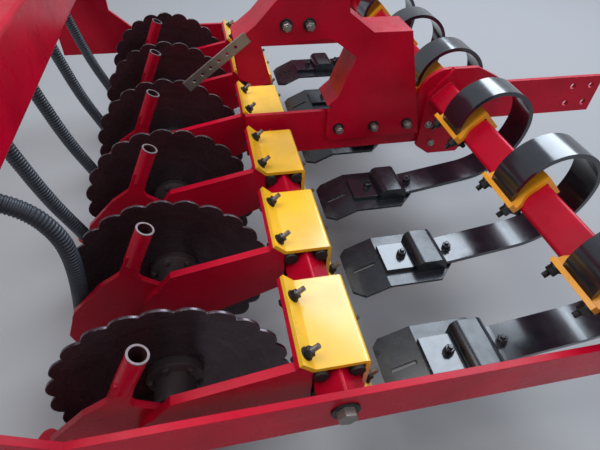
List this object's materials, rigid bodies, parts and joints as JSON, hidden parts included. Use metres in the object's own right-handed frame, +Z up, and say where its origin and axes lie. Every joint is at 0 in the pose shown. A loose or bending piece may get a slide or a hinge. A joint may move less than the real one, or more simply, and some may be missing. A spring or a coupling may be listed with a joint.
{
  "type": "seed drill tool section",
  "caption": "Front tool section of a seed drill: a frame bay with notched disc openers on cushioned arms, levelling boards on C springs, and a carrier tower.",
  "frame": {"origin": "on the axis of the carrier pin bore at the top of the tower, in the middle plane of the centre plate", "axes": "+X is the direction of travel, +Y runs across the bay to the machine's left, +Z is up"},
  "size_m": [1.64, 1.536, 0.7249],
  "materials": {
    "crimson_paint": "gloss enamel, a little dusty",
    "yellow_paint": "gloss enamel",
    "rubber_cord": "matt black",
    "plated_strip": "dull plated",
    "disc_steel": "dark hardened steel with a bright rim",
    "hub_steel": "worn dark casting",
    "black_spring": "satin black",
    "black_board": "satin black",
    "hose_plastic": "corrugated blue-black plastic",
    "cylinder_paint": "satin black",
    "rod_chrome": "hard chrome"
  },
  "bodies": {
    "frame": {"side_plate_near": "crimson_paint", "side_plate_far": "crimson_paint", "centre_plate": "crimson_paint", "tower": "crimson_paint", "gang_tube": "crimson_paint", "rear_tube": "crimson_paint", "hose_rail": "crimson_paint", "opener_arm_1": "crimson_paint", "opener_arm_2": "crimson_paint", "opener_arm_3": "crimson_paint", "opener_arm_4": "crimson_paint", "opener_arm_5": "crimson_paint", "opener_arm_6": "crimson_paint", "clamp_cap_1": "yellow_paint", "clamp_cap_2": "yellow_paint", "clamp_cap_3": "yellow_paint", "clamp_cap_4": "yellow_paint", "clamp_cap_5": "yellow_paint", "clamp_cap_6": "yellow_paint", "rubber_cords": "rubber_cord", "scale_strip": "plated_strip", "hose_2": "hose_plastic", "hose_3": "hose_plastic", "hose_4": "hose_plastic", "hose_5": "hose_plastic", "hose_6": "hose_plastic"},
    "opener_disc_1": {"disc_1": "disc_steel", "hub_1": "hub_steel"},
    "opener_disc_2": {"disc_2": "disc_steel", "hub_2": "hub_steel"},
    "opener_disc_3": {"disc_3": "disc_steel", "hub_3": "hub_steel"},
    "opener_disc_4": {"disc_4": "disc_steel", "hub_4": "hub_steel"},
    "opener_disc_5": {"disc_5": "disc_steel", "hub_5": "hub_steel"},
    "opener_disc_6": {"disc_6": "disc_steel", "hub_6": "hub_steel"},
    "levelling_boards": {"board_beam": "crimson_paint", "spring_brackets": "yellow_paint", "c_spring_1": "black_spring", "c_spring_2": "black_spring", "c_spring_3": "black_spring", "c_spring_4": "black_spring", "c_spring_5": "black_spring", "c_spring_6": "black_spring", "board_1": "black_board", "board_2": "black_board", "board_3": "black_board", "board_4": "black_board", "board_5": "black_board", "board_6": "black_board"},
    "barrel": {"cylinder_barrel": "cylinder_paint"},
    "rod": {"cylinder_rod": "rod_chrome"}
  },
  "joints": [
    {"name": "disc_spin_1", "type": "hinge", "parent": "frame", "child": "opener_disc_1", "pos_m": [-0.387, -0.636, -0.47], "axis": [0, 0.9976, -0.0698], "continuous": true},
    {"name": "disc_spin_2", "type": "hinge", "parent": "frame", "child": "opener_disc_2", "pos_m": [-0.387, -0.386, -0.47], "axis": [0, 0.9976, -0.0698], "continuous": true},
    {"name": "disc_spin_3", "type": "hinge", "parent": "frame", "child": "opener_disc_3", "pos_m": [-0.387, -0.136, -0.47], "axis": [0, 0.9976, -0.0698], "continuous": true},
    {"name": "disc_spin_4", "type": "hinge", "parent": "frame", "child": "opener_disc_4", "pos_m": [-0.387, 0.114, -0.47], "axis": [0, 0.9976, -0.0698], "continuous": true},
    {"name": "disc_spin_5", "type": "hinge", "parent": "frame", "child": "opener_disc_5", "pos_m": [-0.387, 0.364, -0.47], "axis": [0, 0.9976, -0.0698], "continuous": true},
    {"name": "disc_spin_6", "type": "hinge", "parent": "frame", "child": "opener_disc_6", "pos_m": [-0.387, 0.614, -0.47], "axis": [0, 0.9976, -0.0698], "continuous": true},
    {"name": "board_tilt", "type": "hinge", "parent": "frame", "child": "levelling_boards", "pos_m": [0.366, 0, -0.297], "axis": [0, 1, 0], "range_deg": [-15, 6]},
    {"name": "barrel_swing", "type": "hinge", "parent": "frame", "child": "barrel", "pos_m": [0.065, 0.696, -0.305], "axis": [0, 1, 0], "range_deg": [-2, 2]},
    {"name": "rod_slide", "type": "slide", "parent": "barrel", "child": "rod", "axis": [0.8381, 0, 0.5455], "range_m": [-0.044, 0.02]}
  ],
  "couplings": [
    {"joint": "barrel_swing", "follows": "board_tilt", "ratio": -0.05},
    {"joint": "rod_slide", "follows": "board_tilt", "m_per_rad": 0.1574}
  ]
}
